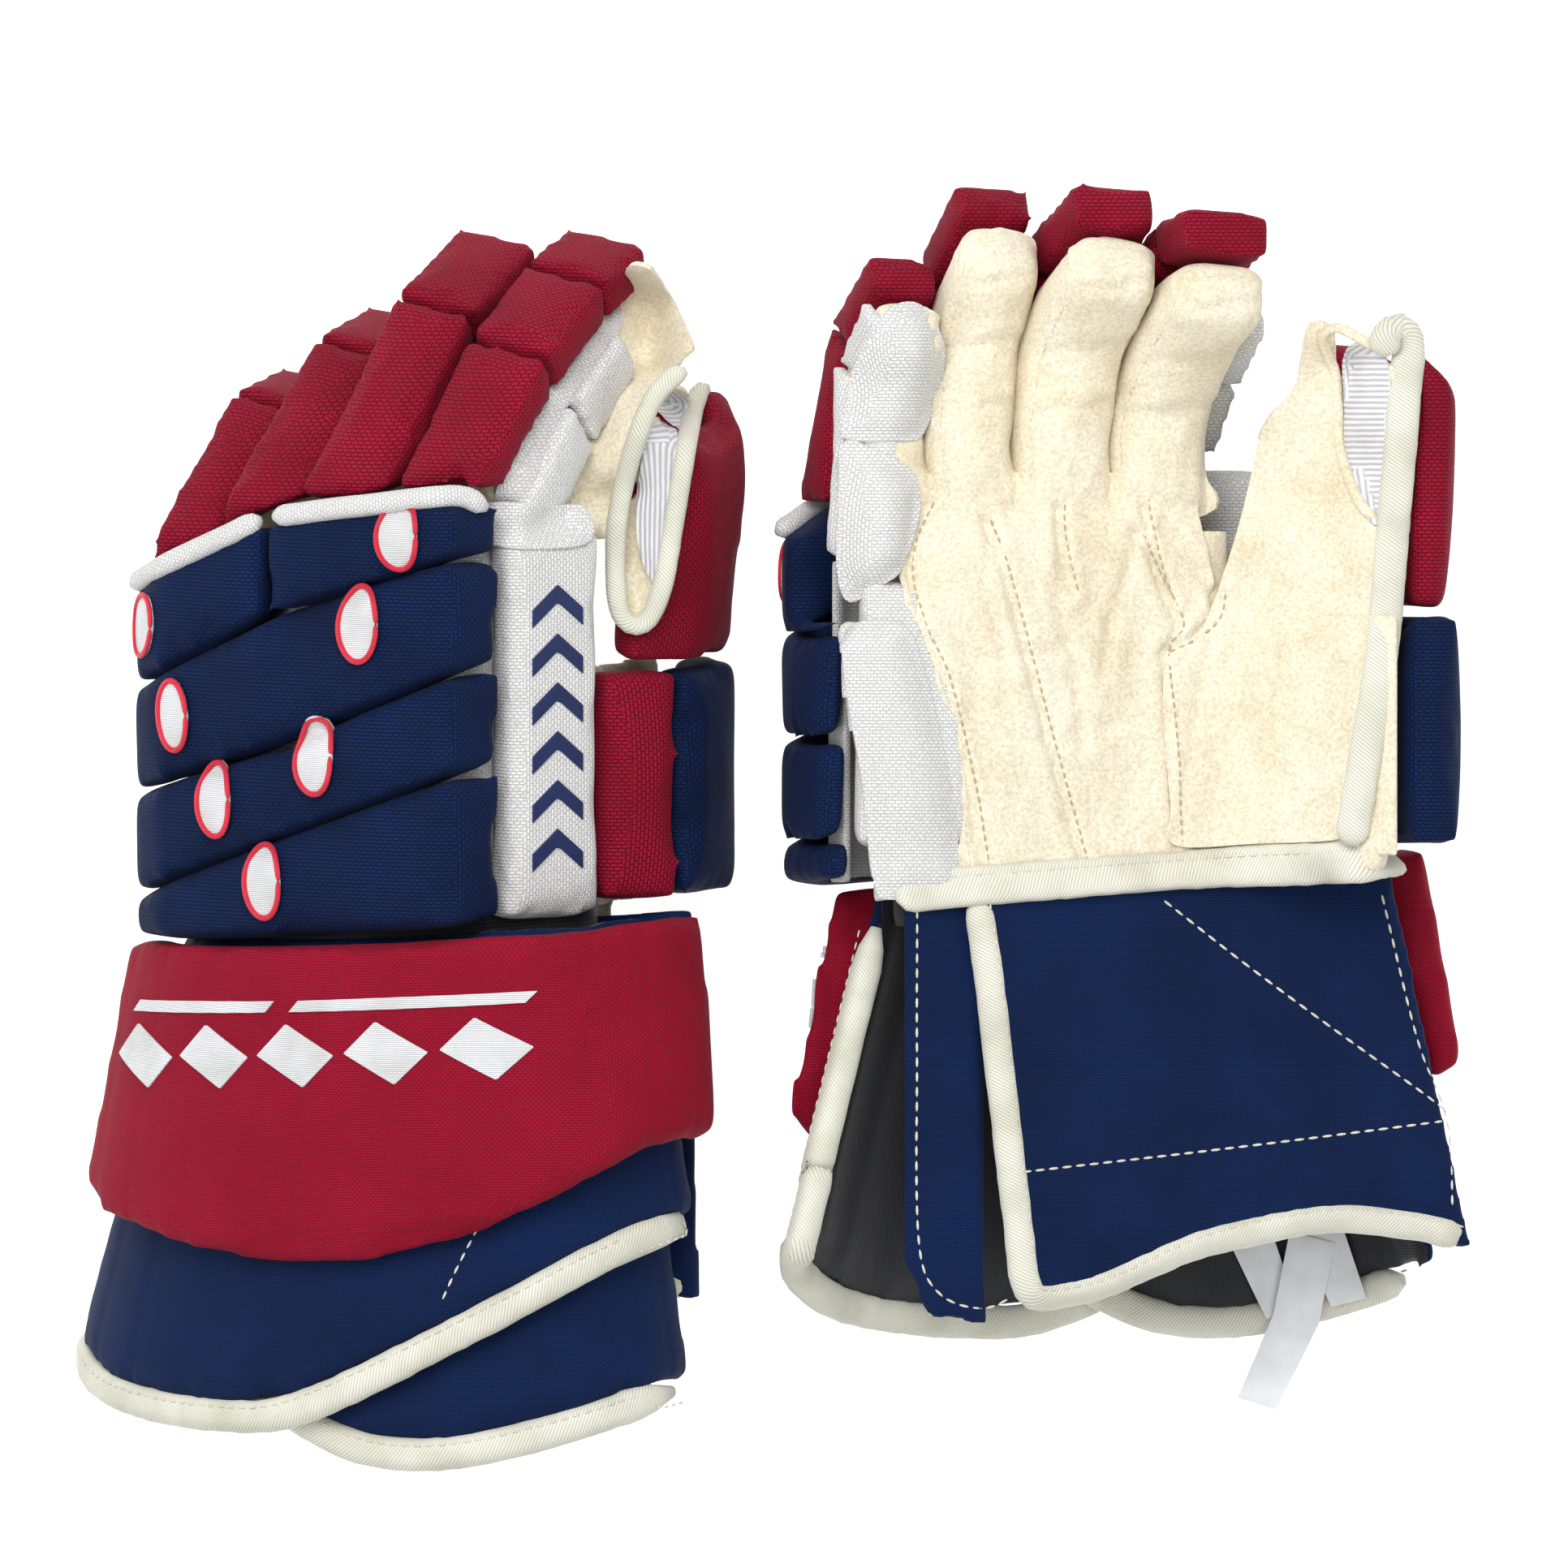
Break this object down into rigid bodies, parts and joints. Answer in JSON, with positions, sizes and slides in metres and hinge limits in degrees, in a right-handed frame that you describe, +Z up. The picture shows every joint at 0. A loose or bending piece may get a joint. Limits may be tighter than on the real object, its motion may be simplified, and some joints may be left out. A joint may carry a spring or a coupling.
{
  "type": "pair of ice hockey gloves",
  "caption": "Pair of padded ice hockey gloves with foam rolls, leather palms, curled fingers, stiff thumbs and flared cuffs, one palm down and one palm up.",
  "frame": {"origin": "middle of the pair's bounding box, on the surface the gloves lie on", "axes": "+Z up; +Y towards the fingertips of both gloves; +X from the left-hand glove, palm down, to the right-hand glove, palm up"},
  "size_m": [0.4006, 0.3712, 0.1337],
  "materials": {
    "red_mesh": "matte",
    "navy_fabric": "matte",
    "white_mesh": "matte",
    "palm_suede": "matte",
    "binding_tape": "matte",
    "lining": "matte"
  },
  "bodies": {
    "left_hand": {"left_palm": "palm_suede", "left_backhand_liner": "lining", "left_backhand_roll_1": "navy_fabric", "left_backhand_roll_2": "navy_fabric", "left_backhand_roll_3": "navy_fabric", "left_backhand_roll_4": "navy_fabric", "left_knuckle_piping": "white_mesh", "left_index_side_roll": "white_mesh", "left_pinky_side_roll": "white_mesh", "left_thumb_base_roll": "red_mesh", "left_thumb_outer_roll": "navy_fabric"},
    "left_thumb": {"left_thumb_sleeve": "palm_suede", "left_thumb_pad": "red_mesh", "left_thumb_guard": "white_mesh", "left_thumb_binding": "binding_tape"},
    "left_cuff": {"left_cuff_roll": "red_mesh", "left_cuff_back_flap": "navy_fabric", "left_cuff_side_flap": "navy_fabric", "left_cuff_binding": "binding_tape"},
    "left_palm_closure": {"left_palm_flap": "navy_fabric"},
    "left_index_finger": {"left_index_sleeve": "palm_suede", "left_index_pads": "red_mesh", "left_index_side_pads": "white_mesh"},
    "left_middle_finger": {"left_middle_sleeve": "palm_suede", "left_middle_pads": "red_mesh"},
    "left_ring_finger": {"left_ring_sleeve": "palm_suede", "left_ring_pads": "red_mesh"},
    "left_pinky_finger": {"left_pinky_sleeve": "palm_suede", "left_pinky_pads": "red_mesh", "left_pinky_side_pads": "white_mesh"},
    "right_hand": {"right_palm": "palm_suede", "right_backhand_liner": "lining", "right_backhand_roll_1": "navy_fabric", "right_backhand_roll_2": "navy_fabric", "right_backhand_roll_3": "navy_fabric", "right_backhand_roll_4": "navy_fabric", "right_knuckle_piping": "white_mesh", "right_index_side_roll": "white_mesh", "right_pinky_side_roll": "white_mesh", "right_thumb_base_roll": "red_mesh", "right_thumb_outer_roll": "navy_fabric"},
    "right_thumb": {"right_thumb_sleeve": "palm_suede", "right_thumb_pad": "red_mesh", "right_thumb_guard": "white_mesh", "right_thumb_binding": "binding_tape"},
    "right_cuff": {"right_cuff_roll": "red_mesh", "right_cuff_back_flap": "navy_fabric", "right_cuff_side_flap": "navy_fabric", "right_cuff_binding": "binding_tape"},
    "right_palm_closure": {"right_palm_flap": "navy_fabric"},
    "right_index_finger": {"right_index_sleeve": "palm_suede", "right_index_pads": "red_mesh", "right_index_side_pads": "white_mesh"},
    "right_middle_finger": {"right_middle_sleeve": "palm_suede", "right_middle_pads": "red_mesh"},
    "right_ring_finger": {"right_ring_sleeve": "palm_suede", "right_ring_pads": "red_mesh"},
    "right_pinky_finger": {"right_pinky_sleeve": "palm_suede", "right_pinky_pads": "red_mesh", "right_pinky_side_pads": "white_mesh"}
  },
  "joints": [
    {"name": "left_index_knuckle", "type": "hinge", "parent": "left_hand", "child": "left_index_finger", "pos_m": [-0.07521, 0.07457, 0.06149], "axis": [-0.8897, 0.2262, -0.3966], "range_deg": [0, 10], "stiffness_Nm_per_rad": 1.2},
    {"name": "left_middle_knuckle", "type": "hinge", "parent": "left_hand", "child": "left_middle_finger", "pos_m": [-0.10137, 0.07441, 0.04923], "axis": [-0.8897, 0.2262, -0.3966], "range_deg": [0, 50], "stiffness_Nm_per_rad": 1.2},
    {"name": "left_ring_knuckle", "type": "hinge", "parent": "left_hand", "child": "left_ring_finger", "pos_m": [-0.12638, 0.0716, 0.03728], "axis": [-0.8897, 0.2262, -0.3966], "range_deg": [0, 50], "stiffness_Nm_per_rad": 1.2},
    {"name": "left_pinky_knuckle", "type": "hinge", "parent": "left_hand", "child": "left_pinky_finger", "pos_m": [-0.15036, 0.06149, 0.02517], "axis": [-0.8897, 0.2262, -0.3966], "range_deg": [0, 50], "stiffness_Nm_per_rad": 1.2},
    {"name": "left_thumb_hinge", "type": "hinge", "parent": "left_hand", "child": "left_thumb", "pos_m": [-0.03143, 0.04435, 0.08196], "axis": [0.866, 0.0436, -0.4981], "range_deg": [0, 25], "stiffness_Nm_per_rad": 1.2},
    {"name": "left_wrist", "type": "hinge", "parent": "left_hand", "child": "left_cuff", "pos_m": [-0.14111, -0.03217, 0.10769], "axis": [-0.9044, -0.0284, -0.4258], "range_deg": [0, 20], "stiffness_Nm_per_rad": 3},
    {"name": "left_flap_hinge", "type": "hinge", "parent": "left_hand", "child": "left_palm_closure", "pos_m": [-0.07063, -0.02503, 0.05159], "axis": [0.9044, 0.0284, 0.4258], "range_deg": [0, 22], "stiffness_Nm_per_rad": 1.2},
    {"name": "right_index_knuckle", "type": "hinge", "parent": "right_hand", "child": "right_index_finger", "pos_m": [0.10991, 0.0873, 0.07677], "axis": [0.9345, -0.1045, -0.3401], "range_deg": [0, 50], "stiffness_Nm_per_rad": 1.2},
    {"name": "right_middle_knuckle", "type": "hinge", "parent": "right_hand", "child": "right_middle_finger", "pos_m": [0.08324, 0.08611, 0.08647], "axis": [0.9345, -0.1045, -0.3401], "range_deg": [0, 50], "stiffness_Nm_per_rad": 1.2},
    {"name": "right_ring_knuckle", "type": "hinge", "parent": "right_hand", "child": "right_ring_finger", "pos_m": [0.05799, 0.08246, 0.09567], "axis": [0.9345, -0.1045, -0.3401], "range_deg": [0, 50], "stiffness_Nm_per_rad": 1.2},
    {"name": "right_pinky_knuckle", "type": "hinge", "parent": "right_hand", "child": "right_pinky_finger", "pos_m": [0.03446, 0.07242, 0.10423], "axis": [0.9345, -0.1045, -0.3401], "range_deg": [0, 50], "stiffness_Nm_per_rad": 1.2},
    {"name": "right_thumb_hinge", "type": "hinge", "parent": "right_hand", "child": "right_thumb", "pos_m": [0.1631, 0.06048, 0.03975], "axis": [-0.9781, 0, -0.2079], "range_deg": [0, 25], "stiffness_Nm_per_rad": 1.2},
    {"name": "right_wrist", "type": "hinge", "parent": "right_hand", "child": "right_cuff", "pos_m": [0.04716, -0.01351, 0.0166], "axis": [0.9377, 0.0654, -0.3413], "range_deg": [0, 20], "stiffness_Nm_per_rad": 3},
    {"name": "right_flap_hinge", "type": "hinge", "parent": "right_hand", "child": "right_palm_closure", "pos_m": [0.11245, -0.01129, 0.07904], "axis": [-0.9377, -0.0654, 0.3413], "range_deg": [0, 45], "stiffness_Nm_per_rad": 1.2},
    {"name": "right_lift", "type": "slide", "parent": "left_hand", "child": "right_hand", "axis": [0, 0, 1], "range_m": [0, 0.1]}
  ]
}
